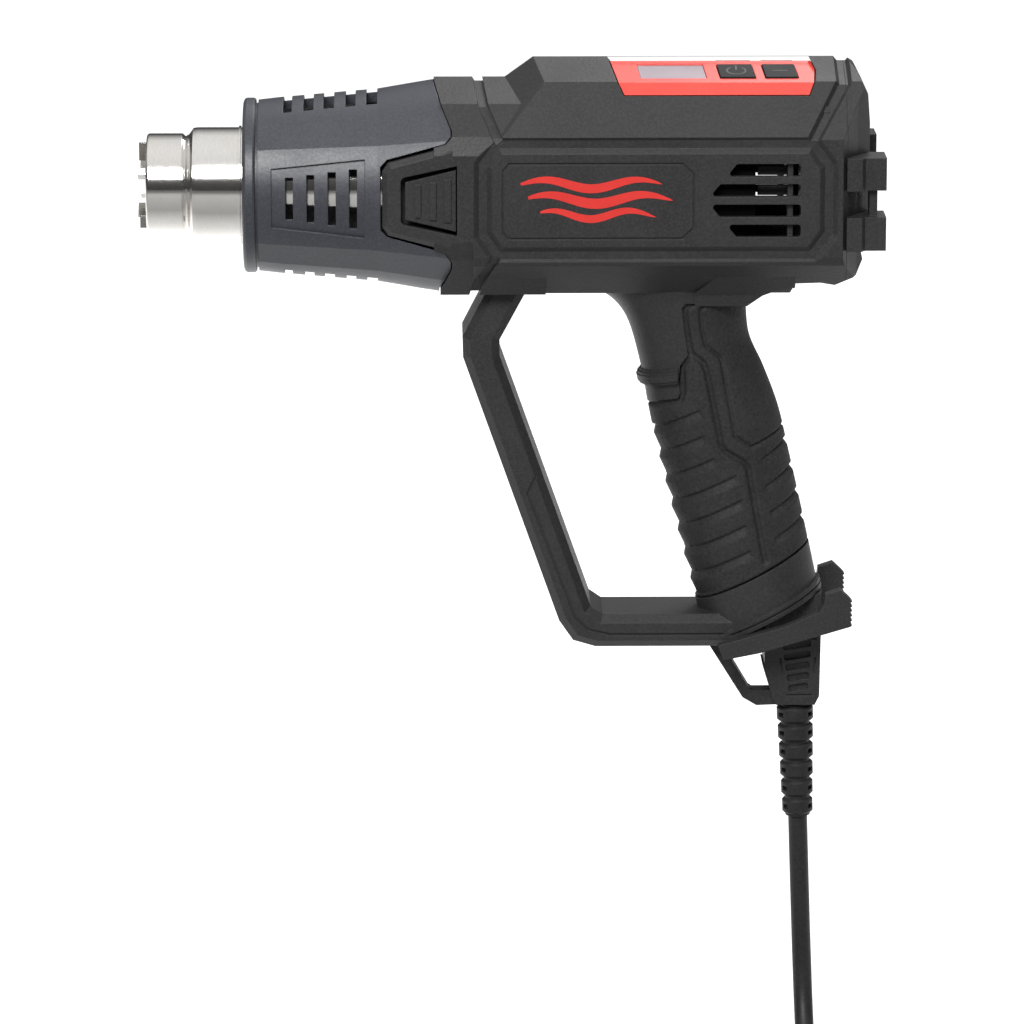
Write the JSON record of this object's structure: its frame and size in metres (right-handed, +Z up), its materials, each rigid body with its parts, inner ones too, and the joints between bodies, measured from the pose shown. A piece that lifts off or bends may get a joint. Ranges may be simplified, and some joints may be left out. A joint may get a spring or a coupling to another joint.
{
  "type": "heat gun",
  "caption": "Pistol-grip electric heat gun with closed hand guard, slotted sliding heat shield, steel nozzle, display panel, hanging loop and coiled mains lead.",
  "frame": {"origin": "centre of the grip, on the plane where the two housing halves meet", "axes": "+Z up with the barrel level, -X along the nozzle's air stream, +Y to the gun's right-hand side as its user holds it"},
  "size_m": [0.2478, 0.1304, 0.3669],
  "materials": {
    "black_plastic": "fine spark-eroded texture, satin",
    "grey_plastic": "blue-grey glass-filled moulding, fine texture",
    "soft_black": "soft-touch skin, matt",
    "polished_steel": "polished stainless tube with faint heat tint",
    "strip_steel": "plain strip metal",
    "red_plastic": "smooth red moulding",
    "key_black": "satin keycaps",
    "lcd_glass": "clear window over the display",
    "lcd_cell": "grey liquid crystal cell",
    "mica": "rolled mica sheet",
    "ceramic": "bare heater ceramic",
    "heater_wire": "oxidised resistance wire",
    "motor_steel": "zinc-plated steel",
    "magnet": "ferrite",
    "laminations": "stacked sheet and winding lacquer",
    "bronze": "sintered bearing bronze",
    "duct_plastic": "heat-resistant moulding",
    "board_green": "circuit board with parts",
    "terminal_plastic": "terminal moulding",
    "screw_steel": "black-zinc screws",
    "cord_rubber": "rubber-sheathed cable",
    "plug_rubber": "moulded plug",
    "pin_nickel": "nickel-plated brass pins",
    "tie_black": "twist tie"
  },
  "bodies": {
    "housing": {"left_housing": "black_plastic", "right_housing": "black_plastic", "rear_cover": "black_plastic", "left_rear_stand": "black_plastic", "right_rear_stand": "black_plastic", "left_soft_grip": "soft_black", "right_soft_grip": "soft_black", "nozzle_tube": "polished_steel", "nozzle_guard": "strip_steel", "heater_holder": "ceramic", "mica_tube": "mica", "heater_former": "ceramic", "heating_coils": "heater_wire", "thermal_cutout": "motor_steel", "air_guide": "duct_plastic", "motor_can": "motor_steel", "motor_magnets": "magnet", "motor_end_cap": "duct_plastic", "front_bearing": "bronze", "rear_bearing": "bronze", "control_panel": "red_plastic", "lcd_window": "lcd_glass", "lcd_module": "lcd_cell", "control_board": "board_green", "power_board": "board_green", "terminal_block": "terminal_plastic", "cord_clamp": "duct_plastic", "housing_screws": "screw_steel", "stand_bracket": "black_plastic", "tail_boot": "black_plastic", "strain_relief": "cord_rubber", "mains_cord": "cord_rubber", "plug_lead": "cord_rubber", "cord_coil": "cord_rubber", "coil_tie": "tie_black", "plug_body": "plug_rubber", "plug_pins": "pin_nickel"},
    "fan_rotor": {"armature": "laminations", "motor_shaft": "motor_steel", "fan_impeller": "duct_plastic"},
    "heat_shield": {"heat_shield": "grey_plastic"},
    "left_latch": {"left_latch": "black_plastic"},
    "right_latch": {"right_latch": "black_plastic"},
    "power_button": {"power_button": "key_black"},
    "minus_button": {"minus_button": "key_black"},
    "airflow_button": {"airflow_button": "key_black"},
    "plus_button": {"plus_button": "key_black"}
  },
  "joints": [
    {"name": "shield_slide", "type": "slide", "parent": "housing", "child": "heat_shield", "axis": [-1, 0, 0], "range_m": [0, 0.08]},
    {"name": "left_latch_flex", "type": "hinge", "parent": "housing", "child": "left_latch", "pos_m": [-0.0898, -0.0316, 0.0838], "axis": [0, 0, 1], "range_deg": [-6, 0], "stiffness_Nm_per_rad": 0.2},
    {"name": "right_latch_flex", "type": "hinge", "parent": "housing", "child": "right_latch", "pos_m": [-0.0898, 0.0316, 0.0838], "axis": [0, 0, 1], "range_deg": [0, 6], "stiffness_Nm_per_rad": 0.2},
    {"name": "fan_spin", "type": "hinge", "parent": "housing", "child": "fan_rotor", "pos_m": [-0.02, 0, 0.0838], "axis": [1, 0, 0], "continuous": true},
    {"name": "power_press", "type": "slide", "parent": "housing", "child": "power_button", "axis": [0, 0.2364, -0.9717], "range_m": [0, 0.001], "stiffness_N_per_m": 600},
    {"name": "minus_press", "type": "slide", "parent": "housing", "child": "minus_button", "axis": [0, 0.2364, -0.9717], "range_m": [0, 0.001], "stiffness_N_per_m": 600},
    {"name": "airflow_press", "type": "slide", "parent": "housing", "child": "airflow_button", "axis": [0, -0.2364, -0.9717], "range_m": [0, 0.001], "stiffness_N_per_m": 600},
    {"name": "plus_press", "type": "slide", "parent": "housing", "child": "plus_button", "axis": [0, -0.2364, -0.9717], "range_m": [0, 0.001], "stiffness_N_per_m": 600}
  ]
}
